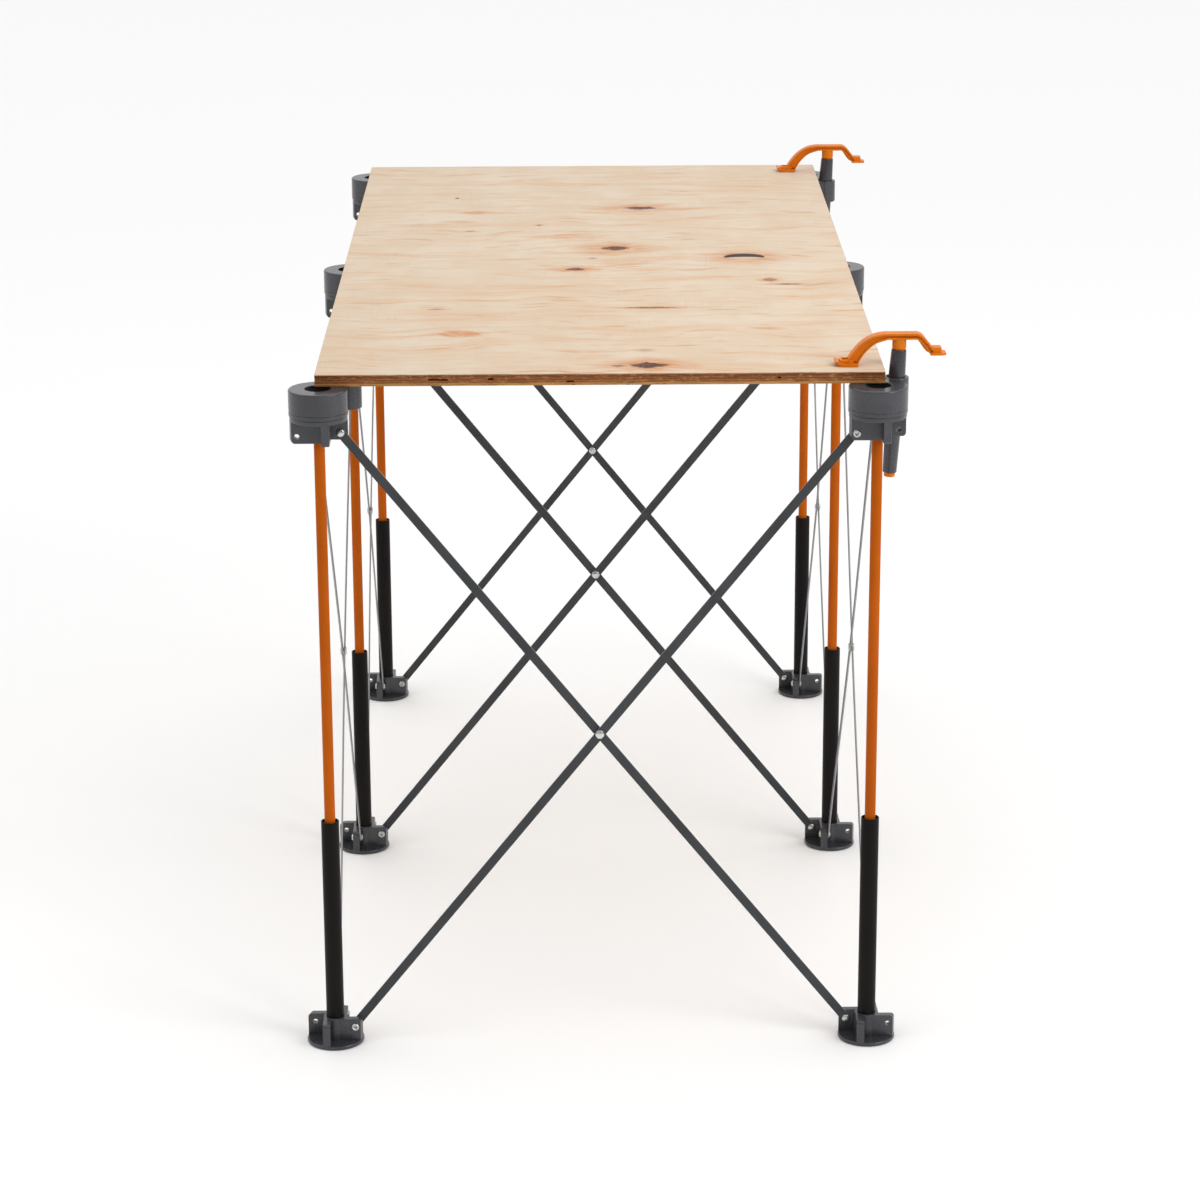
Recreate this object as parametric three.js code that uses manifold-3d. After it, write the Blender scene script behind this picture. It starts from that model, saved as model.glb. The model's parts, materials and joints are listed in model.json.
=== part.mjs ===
// Expanding lattice work stand, open, with a sheet of plywood held on it by two hold-down clamps.
// Six telescoping legs stand in two rows of three. Flat arms cross in pairs between neighbouring legs and
// are riveted to a foot at one end and to a head hub at the other, so the whole lattice closes to a bundle.
// Millimetres, +Z up. X runs across the stand and Y along it; the origin is on the floor under the middle
// of the whole object's box.
import * as THREE from "three";
import { mergeVertices } from "three/addons/utils/BufferGeometryUtils.js";
import Module from "manifold-3d";

const wasm = await Module();
wasm.setup();

// ---- driving dimensions -------------------------------------------------------------------------------
const legSpacing = 600; // between neighbouring leg axes, both ways
const headHeight = 758; // floor to the flat top of the caps
const piecesGap = 0.3; // between pieces that rest on each other

const lowerTubeRadius = 10;
const lowerTubeWall = 1.4;
const lowerTubeTop = 264; // height of the open end
const upperTubeRadius = 6;
const upperTubeWall = 1.1;
const upperTubeBottom = 30; // height of the plug's underside when the stand is open
const plugLength = 15;
const plugPlay = 0.5; // plug in the lower tube
const guideDepth = 4; // the guide bush sits this far below the open end
const guideLength = 12;
const guidePlay = 0.45; // upper tube in the guide bush

const socketPlay = 0.35; // a leg tube in its foot or hub socket
const footSocketWall = 3.15; // collar round the lower tube
const hubSocketWall = 3.6; // collar round the upper tube
const footFloor = 6; // solid under the lower tube

const armWidth = 10;
const armThickness = 1.5;
const armPlaneOffset = 2.95; // arm's middle plane to the legs' middle plane
const armSwing = 4.5; // clear gap between an arm's end and the foot's collar
const armFlangeGap = 0.5;
const rivetRadius = 2.6;
const rivetPlay = 0.45; // rivet in the hole it turns in
const rivetHeadRadius = 4.3;
const rivetHeadHeight = 2;
const crossRivetHeadRadius = 4.9;

const flangeThickness = 8.6;
const flangeCorner = 4;
const discMargin = 9; // disc edge beyond the pivots
const footPlateThickness = 4;
const footPivotHeight = 20;
const footFlangeTop = 29.5;
const headPivotDrop = 50; // cap top to the head pivots
const hubPlateThickness = 5;
const hubFlangeBelowPivot = 8;

const capHeight = 29;
const capEdge = 1.6; // rounded top edge
const capSocketRadius = 14;
const capSocketDepth = 21;
const earWall = 3.3;
const earMerge = 1.2; // how far the ear's circle runs into the cap's
const earSlot = 3; // slit in the ear's outer wall

const clampLean = THREE.MathUtils.degToRad(3.15); // the tightened barrel leans outwards in its loose bore
const barrelRadius = 9.1; // at the ear
const barrelTopRadius = 8.1;
const barrelBottomRadius = 7.6;
const barrelAbove = 30; // cap top to the barrel's top
const barrelBelow = 107; // cap top down to the barrel's bottom
const shaftRadius = 6.1;
const shaftPlay = 0.45;
const shaftTip = 5; // shaft below the barrel
const earPlay = 0.5; // barrel in the ear at its tightest
const neckRadius = 7.6;
const neckGrip = 3.6; // shaft inside the clamp arm's neck
const clampArmWidth = 14;
const clampArmRise = 41.7; // cap top to the underside of the arm's flat middle
const clampArmDepth = 6.7;
const clampPadWidth = 24;

const panelSideOverhang = 6; // past the leg axes, across the stand
const panelEndOverhang = 0; // past the end legs' axes
const panelThickness = 12.7;
const panelCentreX = 2; // from the middle of the legs
const panelCentreY = 6;

// Facets round each kind of piece. A tube and what fits it have the same number, so their flats line up.
const discSides = 26;
const tubeSides = 16;
const slimSides = 12;
const rivetSides = 8;

// ---- sizes that follow --------------------------------------------------------------------------------
const collarRadius = lowerTubeRadius + socketPlay + footSocketWall;
const pivotReach = collarRadius + armSwing + armWidth / 2; // leg axis to its pivots
const discRadius = pivotReach + discMargin;
const flangeInner = armPlaneOffset + armThickness / 2 + armFlangeGap; // leg's middle plane to the flange
const rivetHole = rivetRadius + rivetPlay;
const headPivotHeight = headHeight - headPivotDrop;
const hubTop = headHeight - capHeight - piecesGap;
const earBore = barrelRadius + (capHeight / 2) * Math.tan(clampLean) + earPlay;
const earRadius = earBore + earWall;
const earReach = discRadius + earRadius - earMerge;
const panelBottom = headHeight + piecesGap;
const panelTop = panelBottom + panelThickness;
const panelWidth = legSpacing + 2 * panelSideOverhang;
const panelLength = 2 * (legSpacing + panelEndOverhang);

const rowNames = ["front", "middle", "rear"];
const sideNames = ["left", "right"];
const legX = (i) => (i - 0.5) * legSpacing;
const legY = (j) => (j - 1) * legSpacing;
// Where each cap's ear points, in degrees from +X: outwards at the two clamps, inwards elsewhere.
const earAngles = [[45, 45, 45], [60, 225, -60]];

// ---- materials ----------------------------------------------------------------------------------------
const finish = (color, roughness, metalness) =>
  new THREE.MeshStandardMaterial({ color, roughness, metalness });
const greyPlastic = finish(0x4a4b50, 0.5, 0);
const orangePlastic = finish(0xd8701e, 0.4, 0);
const orangePaint = finish(0xcb671b, 0.35, 0.1);
const blackPaint = finish(0x231f20, 0.35, 0.1);
const greyPaint = finish(0x47484c, 0.45, 0.2);
const zinc = finish(0xc9cac6, 0.3, 1);
const plywood = finish(0xe4cba8, 0.65, 0);

// ---- helpers ------------------------------------------------------------------------------------------
// A closed three.js geometry as a solid; only its positions count, with shared vertices merged.
function solid(geometry) {
  const g = geometry.clone();
  g.deleteAttribute("normal");
  g.deleteAttribute("uv");
  const merged = mergeVertices(g, 1e-4);
  return new wasm.Manifold(
    new wasm.Mesh({
      numProp: 3,
      vertProperties: merged.attributes.position.array,
      triVerts: new Uint32Array(merged.index.array),
    }),
  );
}

function geometryOf(body) {
  const mesh = body.getMesh();
  const g = new THREE.BufferGeometry();
  g.setAttribute("position", new THREE.BufferAttribute(mesh.vertProperties, 3));
  g.setIndex(new THREE.BufferAttribute(mesh.triVerts, 1));
  g.computeVertexNormals();
  return g;
}

// A profile of [radius, height] points turned about Z. It starts and ends on the axis, lowest point first,
// or it closes on itself, going up outside and down inside.
function turned(profile, sides) {
  const points = profile.map(([r, z]) => new THREE.Vector2(r, z));
  return new THREE.LatheGeometry(points, sides).rotateX(Math.PI / 2);
}

const rod = (radius, z0, z1, sides) => turned([[0, z0], [radius, z0], [radius, z1], [0, z1]], sides);

// A shape drawn in X and Z, given a thickness along Y from y0 to y1.
function slab(shape, y0, y1, curveSegments = 6) {
  const depth = y1 - y0;
  return new THREE.ExtrudeGeometry(shape, { depth, bevelEnabled: false, curveSegments })
    .rotateX(Math.PI / 2)
    .translate(0, y1, 0);
}

// Lowest to highest point of a rivet's dome, from its rim at height z to its crown.
function dome(radius, height, z, up) {
  const arc = [
    [radius, z],
    [radius * 0.72, z + up * height * 0.7],
    [0, z + up * height],
  ];
  return up > 0 ? arc : arc.reverse();
}

function place(geometry, material, name, x, y, z) {
  const mesh = new THREE.Mesh(geometry, material);
  mesh.name = name;
  mesh.position.set(x, y, z);
  return mesh;
}

// ---- foot and head hub --------------------------------------------------------------------------------
// One upright flange on the +X side, from z0 to z1, holed for a rivet at height zp. side is the side of
// the leg's middle plane that it stands on, and the outer corner away from the disc is rounded. It starts
// inward, past the leg's axis by the given run.
function flange(side, z0, z1, zp, roundTop, run) {
  const corner = Math.min(flangeCorner, (z1 - z0) / 3);
  const s = new THREE.Shape();
  s.moveTo(-run, z0);
  if (roundTop) {
    s.lineTo(discRadius, z0);
    s.lineTo(discRadius, z1 - corner);
    s.quadraticCurveTo(discRadius, z1, discRadius - corner, z1);
    s.lineTo(-run, z1);
  } else {
    s.lineTo(discRadius - corner, z0);
    s.quadraticCurveTo(discRadius, z0, discRadius, z0 + corner);
    s.lineTo(discRadius, z1);
    s.lineTo(-run, z1);
  }
  const hole = new THREE.Path();
  hole.absarc(pivotReach, zp, rivetHole, 0, 2 * Math.PI, true);
  s.holes.push(hole);
  const y0 = side > 0 ? flangeInner : -flangeInner - flangeThickness;
  return solid(slab(s, y0, y0 + flangeThickness, 4));
}

// Four flanges in a pinwheel, each beside the middle plane of its two legs, trimmed to the disc.
function pinwheel(side, z0, z1, zp, roundTop, run) {
  const one = flange(side, z0, z1, zp, roundTop, run);
  let all = one;
  for (const turn of [90, 180, 270]) all = all.add(one.rotate([0, 0, turn]));
  return all.intersect(solid(rod(discRadius - 0.4, z0, z1, discSides)));
}

function footGeometry() {
  const plate = solid(rod(discRadius, 0, footPlateThickness, discSides));
  const collar = solid(rod(collarRadius, 0, footFlangeTop, tubeSides));
  const flanges = pinwheel(-1, footPlateThickness / 2, footFlangeTop, footPivotHeight, true, 0);
  const socket = solid(rod(lowerTubeRadius + socketPlay, footFloor, footFlangeTop + 1, tubeSides));
  return geometryOf(plate.add(collar).add(flanges).subtract(socket));
}

// The hub's own height starts at the cap's top, so its parts are below zero. Each flange runs on until it
// meets the next, so together they box in the collar.
function hubGeometry() {
  const top = hubTop - headHeight;
  const plateBottom = top - hubPlateThickness;
  const bottom = -headPivotDrop - hubFlangeBelowPivot;
  const plate = solid(rod(discRadius - 0.8, plateBottom, top, discSides));
  const collar = solid(rod(upperTubeRadius + socketPlay + hubSocketWall, bottom, top, slimSides));
  const run = flangeInner + flangeThickness / 2;
  const flanges = pinwheel(1, bottom, (plateBottom + top) / 2, -headPivotDrop, false, run);
  const bore = solid(rod(upperTubeRadius + socketPlay, bottom - 1, top + 1, slimSides));
  return geometryOf(plate.add(collar).add(flanges).subtract(bore));
}

// ---- cap with its clamp ear ---------------------------------------------------------------------------
// Built with the ear on +X and turned to its angle; its top is at zero.
function capGeometry() {
  const body = solid(
    turned(
      [
        [0, -capHeight],
        [discRadius, -capHeight],
        [discRadius, -capEdge],
        [discRadius - capEdge, 0],
        [0, 0],
      ],
      discSides,
    ),
  );
  const ear = solid(rod(earRadius, -capHeight, 0, tubeSides).translate(earReach, 0, 0));
  const web = solid(
    new THREE.BoxGeometry(earReach - discRadius / 2, earRadius, capHeight - capEdge).translate(
      (earReach + discRadius / 2) / 2,
      0,
      -(capHeight + capEdge) / 2,
    ),
  );
  const socket = solid(rod(capSocketRadius, -capSocketDepth, 1, tubeSides));
  const bore = solid(rod(earBore, -capHeight - 1, 1, tubeSides).translate(earReach, 0, 0));
  const slit = solid(
    new THREE.BoxGeometry(2 * earWall, earSlot, capHeight + 2)
      .translate(earBore + earWall / 2, 0, -capHeight / 2)
      .rotateZ(-Math.PI / 4)
      .translate(earReach, 0, 0),
  );
  return geometryOf(body.add(ear).add(web).subtract(socket).subtract(bore).subtract(slit));
}

// ---- leg tubes ----------------------------------------------------------------------------------------
function lowerTubeGeometry() {
  const inner = lowerTubeRadius - lowerTubeWall;
  const guide = upperTubeRadius + guidePlay;
  const guideTop = lowerTubeTop - guideDepth;
  const z0 = footFloor + piecesGap;
  return turned(
    [
      [inner, z0],
      [lowerTubeRadius, z0],
      [lowerTubeRadius, lowerTubeTop],
      [inner, lowerTubeTop],
      [inner, guideTop],
      [guide, guideTop],
      [guide, guideTop - guideLength],
      [inner, guideTop - guideLength],
      [inner, z0],
    ],
    tubeSides,
  );
}

function upperTubeGeometry() {
  const inner = upperTubeRadius - upperTubeWall;
  const plug = lowerTubeRadius - lowerTubeWall - plugPlay;
  const top = hubTop - piecesGap;
  const z0 = upperTubeBottom;
  return turned(
    [
      [inner, z0],
      [plug, z0],
      [plug, z0 + plugLength],
      [upperTubeRadius, z0 + plugLength],
      [upperTubeRadius, top],
      [inner, top],
      [inner, z0],
    ],
    slimSides,
  );
}

// ---- lattice arms and their rivets --------------------------------------------------------------------
// An arm lies along X from one pivot at zero, with its two end rivets standing towards +Y through the
// flanges and a plain hole in its middle for the crossing rivet.
const armRun = legSpacing - 2 * pivotReach;
const armLength = Math.hypot(armRun, headPivotHeight - footPivotHeight);

function armGeometry() {
  const s = new THREE.Shape();
  s.moveTo(0, -armWidth / 2);
  s.lineTo(armLength, -armWidth / 2);
  s.absarc(armLength, 0, armWidth / 2, -Math.PI / 2, Math.PI / 2, false);
  s.lineTo(0, armWidth / 2);
  s.absarc(0, 0, armWidth / 2, Math.PI / 2, (3 * Math.PI) / 2, false);
  const hole = new THREE.Path();
  hole.absarc(armLength / 2, 0, rivetHole, 0, 2 * Math.PI, true);
  s.holes.push(hole);
  const headStart = flangeInner + flangeThickness - armPlaneOffset + piecesGap;
  const rivet = solid(
    turned(
      [
        ...dome(rivetHeadRadius, rivetHeadHeight, -armThickness / 2, -1),
        [rivetRadius, -armThickness / 2],
        [rivetRadius, headStart],
        ...dome(rivetHeadRadius, rivetHeadHeight, headStart, 1),
      ],
      rivetSides,
    ).rotateX(-Math.PI / 2),
  );
  const bar = solid(slab(s, -armThickness / 2, armThickness / 2, 4));
  return geometryOf(bar.add(rivet).add(rivet.translate([armLength, 0, 0])));
}

// The crossing rivet stands along Y with a spacer between the two arms and a dome outside each.
function crossRivetGeometry() {
  const inner = armPlaneOffset - armThickness / 2 - piecesGap;
  const outer = armPlaneOffset + armThickness / 2 + piecesGap;
  return turned(
    [
      ...dome(crossRivetHeadRadius, rivetHeadHeight, -outer, -1),
      [rivetRadius, -outer],
      [rivetRadius, -inner],
      [armWidth / 2, -inner],
      [armWidth / 2, inner],
      [rivetRadius, inner],
      [rivetRadius, outer],
      ...dome(crossRivetHeadRadius, rivetHeadHeight, outer, 1),
    ],
    rivetSides,
  ).rotateX(-Math.PI / 2);
}

// An arm from one pivot to another; its rivets point along side.
function arm(geometry, name, from, to, side) {
  const along = to.clone().sub(from).normalize();
  const across = along.clone().cross(side);
  const mesh = place(geometry, greyPaint, name, from.x, from.y, from.z);
  mesh.quaternion.setFromRotationMatrix(new THREE.Matrix4().makeBasis(along, side, across));
  return mesh;
}

// ---- hold-down clamp ----------------------------------------------------------------------------------
// Barrel and shaft lie along Z, measured from the middle of the ear, which they lean about.
const earMiddle = -capHeight / 2;

function barrelGeometry() {
  const bore = shaftRadius + shaftPlay;
  const top = barrelAbove - earMiddle;
  const bottom = -barrelBelow - earMiddle;
  return turned(
    [
      [bore, bottom],
      [barrelBottomRadius, bottom],
      [barrelRadius, -capHeight],
      [barrelRadius, capHeight / 2],
      [barrelTopRadius, top],
      [bore, top],
      [bore, bottom],
    ],
    tubeSides,
  );
}

function shaftGeometry() {
  const top = barrelAbove - earMiddle + piecesGap + neckGrip;
  return rod(shaftRadius, -barrelBelow - earMiddle - shaftTip, top, tubeSides);
}

// The arched arm, level and square to the stand, with its swivel axis at x = 0 and the cap top at z = 0.
// Its long end comes down on the panel and its short end stays clear of it.
function clampArmGeometry() {
  const padBottom = panelTop - headHeight + piecesGap;
  const padTop = padBottom + 3;
  const top = clampArmRise + clampArmDepth;
  const arch = new THREE.Shape();
  arch.moveTo(-58, padBottom);
  arch.lineTo(-46, padBottom);
  arch.splineThru([new THREE.Vector2(-38, clampArmRise - 15.4), new THREE.Vector2(-27, clampArmRise - 5.1)]
    .concat([new THREE.Vector2(-12.8, clampArmRise)]));
  arch.lineTo(21, clampArmRise);
  arch.lineTo(28.5, clampArmRise - 12);
  arch.lineTo(37, clampArmRise - 17);
  arch.lineTo(38, clampArmRise - 13);
  arch.splineThru([new THREE.Vector2(27.7, top - 6.9), new THREE.Vector2(20, top)]);
  arch.lineTo(-15, top);
  arch.splineThru([new THREE.Vector2(-27, top - 1.8), new THREE.Vector2(-41.3, top - 10.4)]
    .concat([new THREE.Vector2(-52.3, top - 22.9), new THREE.Vector2(-58, padTop)]));
  const longPad = new THREE.Shape();
  longPad.moveTo(-45, padBottom);
  longPad.lineTo(-45, padTop);
  longPad.lineTo(-63, padTop);
  longPad.lineTo(-69.5, padTop + 3);
  longPad.lineTo(-70.5, padTop + 1.5);
  longPad.lineTo(-65, padBottom);
  const shortPad = new THREE.Shape();
  const lift = clampArmRise - 17;
  shortPad.moveTo(33, lift);
  shortPad.lineTo(50.5, lift);
  shortPad.lineTo(50.5, lift + 2.4);
  shortPad.lineTo(45, lift + 3);
  shortPad.lineTo(45, lift + 8.5);
  shortPad.lineTo(42.5, lift + 8.5);
  shortPad.lineTo(41.5, lift + 3);
  shortPad.lineTo(36, lift + 3);
  const flat = (shape, width) => solid(slab(shape, -width / 2, width / 2, 3));
  const neckBottom = barrelAbove + piecesGap + 0.9;
  const neck = solid(rod(neckRadius, neckBottom, clampArmRise + 1, tubeSides));
  const grip = solid(rod(shaftRadius + 0.8, neckBottom - 1, neckBottom + neckGrip + 0.6, tubeSides));
  return geometryOf(
    flat(arch, clampArmWidth)
      .add(flat(longPad, clampPadWidth))
      .add(flat(shortPad, clampPadWidth * 0.8))
      .add(neck)
      .subtract(grip),
  );
}

// ---- assembly -----------------------------------------------------------------------------------------
const stand = new THREE.Group();

const foot = footGeometry();
const hub = hubGeometry();
const cap = capGeometry();
const lowerTube = lowerTubeGeometry();
const upperTube = upperTubeGeometry();
for (const [i, side] of sideNames.entries()) {
  for (const [j, row] of rowNames.entries()) {
    const [x, y] = [legX(i), legY(j)];
    const at = `${row}_${side}`;
    stand.add(place(foot, greyPlastic, `foot_${at}`, x, y, 0));
    stand.add(place(lowerTube, blackPaint, `lower_leg_${at}`, x, y, 0));
    stand.add(place(upperTube, orangePaint, `upper_leg_${at}`, x, y, 0));
    stand.add(place(hub, greyPlastic, `head_hub_${at}`, x, y, headHeight));
    const capMesh = place(cap, greyPlastic, `head_cap_${at}`, x, y, headHeight);
    capMesh.rotation.z = THREE.MathUtils.degToRad(earAngles[i][j]);
    stand.add(capMesh);
  }
}

const armShape = armGeometry();
const crossRivet = crossRivetGeometry();
const crossHeight = (headPivotHeight + footPivotHeight) / 2;
const at = (x, y, z) => new THREE.Vector3(x, y, z);
const [plusX, plusY] = [at(1, 0, 0), at(0, 1, 0)];
for (const [j, row] of rowNames.entries()) {
  const [x0, x1, y] = [legX(0) + pivotReach, legX(1) - pivotReach, legY(j)];
  const [ya, yb] = [y + armPlaneOffset, y - armPlaneOffset];
  const [down, up] = [plusY, plusY.clone().negate()];
  stand.add(arm(armShape, `cross_arm_${row}_a`, at(x0, ya, headPivotHeight), at(x1, ya, footPivotHeight), down));
  stand.add(arm(armShape, `cross_arm_${row}_b`, at(x0, yb, footPivotHeight), at(x1, yb, headPivotHeight), up));
  stand.add(place(crossRivet, zinc, `cross_rivet_${row}`, (x0 + x1) / 2, y, crossHeight));
}
for (const [i, side] of sideNames.entries()) {
  for (const [k, half] of ["front", "rear"].entries()) {
    const [x, y0, y1] = [legX(i), legY(k) + pivotReach, legY(k + 1) - pivotReach];
    const [xa, xb] = [x - armPlaneOffset, x + armPlaneOffset];
    const name = `side_arm_${half}_${side}`;
    const [down, up] = [plusX.clone().negate(), plusX];
    stand.add(arm(armShape, `${name}_a`, at(xa, y0, headPivotHeight), at(xa, y1, footPivotHeight), down));
    stand.add(arm(armShape, `${name}_b`, at(xb, y0, footPivotHeight), at(xb, y1, headPivotHeight), up));
    const rivet = place(crossRivet, zinc, `side_rivet_${half}_${side}`, x, (y0 + y1) / 2, crossHeight);
    rivet.rotation.z = Math.PI / 2;
    stand.add(rivet);
  }
}

const barrel = barrelGeometry();
const shaft = shaftGeometry();
const clampArm = clampArmGeometry();
for (const [j, row] of [[0, "front"], [2, "rear"]]) {
  const angle = THREE.MathUtils.degToRad(earAngles[1][j]);
  const x = legX(1) + earReach * Math.cos(angle);
  const y = legY(j) + earReach * Math.sin(angle);
  for (const [piece, material, geometry] of [
    ["barrel", greyPlastic, barrel],
    ["shaft", orangePlastic, shaft],
  ]) {
    const mesh = place(geometry, material, `clamp_${piece}_${row}`, x, y, headHeight + earMiddle);
    mesh.rotation.y = clampLean;
    stand.add(mesh);
  }
  const swivelX = x + (barrelAbove + neckGrip - earMiddle) * Math.sin(clampLean);
  stand.add(place(clampArm, orangePlastic, `clamp_arm_${row}`, swivelX, y, headHeight));
}

const panel = new THREE.BoxGeometry(panelWidth, panelLength, panelThickness);
const panelMiddle = (panelBottom + panelTop) / 2;
stand.add(place(panel, plywood, "worktop_panel", panelCentreX, panelCentreY, panelMiddle));

// Move everything so that the origin is under the middle of the whole object's box.
const box = new THREE.Box3().setFromObject(stand);
stand.position.set(-(box.min.x + box.max.x) / 2, -(box.min.y + box.max.y) / 2, -box.min.z);

export default stand;
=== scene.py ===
import json
import math

import bmesh
import bpy
from mathutils import Matrix, Vector


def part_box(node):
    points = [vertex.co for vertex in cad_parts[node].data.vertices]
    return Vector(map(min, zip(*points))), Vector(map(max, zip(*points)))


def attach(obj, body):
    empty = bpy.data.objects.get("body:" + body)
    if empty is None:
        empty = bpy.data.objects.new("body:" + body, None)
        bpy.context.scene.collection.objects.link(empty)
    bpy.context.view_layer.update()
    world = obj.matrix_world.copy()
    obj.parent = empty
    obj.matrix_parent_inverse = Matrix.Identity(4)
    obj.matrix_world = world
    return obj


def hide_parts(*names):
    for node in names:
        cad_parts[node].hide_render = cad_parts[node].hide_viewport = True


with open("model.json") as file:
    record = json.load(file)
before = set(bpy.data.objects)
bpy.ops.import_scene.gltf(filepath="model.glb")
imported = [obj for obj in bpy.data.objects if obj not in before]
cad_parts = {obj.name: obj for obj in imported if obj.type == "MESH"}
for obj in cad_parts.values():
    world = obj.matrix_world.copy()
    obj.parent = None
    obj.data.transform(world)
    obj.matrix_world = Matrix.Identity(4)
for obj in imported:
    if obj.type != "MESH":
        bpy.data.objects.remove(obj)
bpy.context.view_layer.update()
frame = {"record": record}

MM = 0.001
TURN = 2 * math.pi
ROWS = ("front", "middle", "rear")
SIDES = ("left", "right")
HALVES = ("front", "rear")


# ---- sizes of the real pieces, in millimetres -----------------------------------------------------------
DISC = 32.0  # radius of a foot plate and a cap
PIVOT = 23.0  # leg axis to its rivets
FLANGE_INNER = 4.2  # leg's middle plane to a flange
FLANGE_THICK = 8.6
FIT = 0.35  # clearance of a tube in its socket and a rivet in its hole
FOOT_PIVOT = 20.0
FOOT_TOP = 29.5
FOOT_PLATE = 4.0
CAP_HEIGHT = 29.0
CAP_GROOVE = 24.4
HUB_PLATE = 5.0
HEAD_PIVOT = 50.0  # cap top down to the head rivets
HUB_BOTTOM = 58.0
SOCKET = 14.0
SOCKET_DEPTH = 21.0
LEAN = math.radians(3.15)  # the tightened clamp barrel leans in its ear
BARREL = 9.1
BARREL_TOP = 8.1
BARREL_TIP = 7.6
BARREL_ABOVE = 44.5  # ear's middle up to the barrel's top
BARREL_BELOW = 92.5
BARREL_BORE = 6.55
SHAFT = 6.1
SHAFT_ABOVE = 48.3
SHAFT_BELOW = 97.5
NECK = 7.6  # the clamp arm's neck round the shaft
NECK_GRIP = 6.7
LONG_REACH = 70.5  # swivel axis to the tip of the arm's long pad
EAR_BORE = BARREL + CAP_HEIGHT / 2 * math.tan(LEAN) + 0.5
EAR = EAR_BORE + 3.3
EAR_REACH = DISC + EAR - 1.2
LOWER_TUBE = 10.0
UPPER_TUBE = 6.0
ARM_PLANE = 2.95
ARM_CROSSING = 1.25  # the arms are sprung together where they cross
ARM_WIDTH = 10.0
ARM_THICK = 1.5
RIVET = 2.6
RIVET_HEAD = 4.3
CROSS_HEAD = 4.9


def leg_axis(row, side):
    """The foot of a leg's axis on the floor."""
    low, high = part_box(f"lower_leg_{row}_{side}")
    return Vector(((low.x + high.x) / 2, (low.y + high.y) / 2, 0))


CAP_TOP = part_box("head_cap_front_left")[1].z
PANEL_LOW, PANEL_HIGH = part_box("worktop_panel")


# ---- shaping helpers ------------------------------------------------------------------------------------
def rounded(points, radii, steps=4):
    """The line of (radius or x, height) points with its inner corners rounded by the radii, in order."""
    line = [points[0]]
    for before, here, after, radius in zip(points, points[1:], points[2:], radii):
        if not radius:
            line.append(here)
            continue
        corner = Vector(here)
        one = (Vector(before) - corner).normalized()
        two = (Vector(after) - corner).normalized()
        half = one.angle(two) / 2
        start = corner + one * (radius / math.tan(half))
        end = corner + two * (radius / math.tan(half))
        centre = corner + (one + two).normalized() * (radius / math.sin(half))
        sweep = math.pi - 2 * half
        for step in range(steps + 1):
            t = step / steps
            ray_a, ray_b = start - centre, end - centre
            ray = (ray_a * math.sin((1 - t) * sweep) + ray_b * math.sin(t * sweep)) / math.sin(sweep)
            line.append(tuple(centre + ray))
    line.append(points[-1])
    return line


def turned(profile, sides=72, closed=False):
    """The profile of (radius, height) points, in millimetres, spun about Z."""
    bm = bmesh.new()
    verts = [bm.verts.new((r * MM, 0, z * MM)) for r, z in profile]
    edges = [bm.edges.new(pair) for pair in zip(verts, verts[1:])]
    if closed:
        edges.append(bm.edges.new((verts[-1], verts[0])))
    bmesh.ops.spin(bm, geom=verts + edges, axis=(0, 0, 1), cent=(0, 0, 0), angle=TURN,
                   steps=sides, use_merge=True)
    bmesh.ops.remove_doubles(bm, verts=bm.verts, dist=1e-7)
    bmesh.ops.recalc_face_normals(bm, faces=bm.faces)
    return bm


def extruded(outline, y0, y1, edge, segments=2):
    """The outline of (x, z) points given thickness from y0 to y1, all in millimetres, with its rims eased."""
    bm = bmesh.new()
    ring = [bm.verts.new((x * MM, y0 * MM, z * MM)) for x, z in outline]
    face = bm.faces.new(ring)
    out = bmesh.ops.extrude_face_region(bm, geom=[face])
    moved = [g for g in out["geom"] if isinstance(g, bmesh.types.BMVert)]
    bmesh.ops.translate(bm, verts=moved, vec=(0, (y1 - y0) * MM, 0))
    bmesh.ops.recalc_face_normals(bm, faces=bm.faces)
    if edge:
        ease(bm, edge, segments)
    return bm


def ease(bm, width, segments=2, least=math.radians(35)):
    """Bevels every edge that turns by more than least."""
    bm.normal_update()
    sharp = [e for e in bm.edges if e.is_manifold and e.calc_face_angle() > least]
    bmesh.ops.bevel(bm, geom=sharp, offset=width * MM, offset_type="OFFSET", segments=segments,
                    profile=0.5, affect="EDGES", material=-1, clamp_overlap=True)


def block(x0, x1, y0, y1, z0, z1, edge=0.0):
    """A box between the given planes, in millimetres, with its edges eased."""
    bm = bmesh.new()
    size = Vector((x1 - x0, y1 - y0, z1 - z0)) * MM
    middle = Vector((x0 + x1, y0 + y1, z0 + z1)) * MM / 2
    bmesh.ops.create_cube(bm, size=1, matrix=Matrix.Translation(middle) @ Matrix.Diagonal(size).to_4x4())
    if edge:
        ease(bm, edge)
    return bm


def rod(radius, z0, z1, sides):
    """A plain cylinder about Z, in millimetres."""
    return turned([(0, z0), (radius, z0), (radius, z1), (0, z1)], sides)


def moved(bm, matrix):
    """A copy of bm, transformed."""
    copy = bm.copy()
    bmesh.ops.transform(copy, matrix=matrix, verts=copy.verts)
    if matrix.determinant() < 0:
        bmesh.ops.reverse_faces(copy, faces=copy.faces)
    return copy


def shift(x, y, z):
    return Matrix.Translation(Vector((x, y, z)) * MM)


def sliced(bm, place, normal):
    """Cuts new edges through bm along a plane, and gives back what the cut made."""
    everything = bm.verts[:] + bm.edges[:] + bm.faces[:]
    return bmesh.ops.bisect_plane(bm, geom=everything, dist=1e-7, plane_co=place, plane_no=normal)["geom_cut"]


def about_z(degrees):
    return Matrix.Rotation(math.radians(degrees), 4, "Z")


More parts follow.
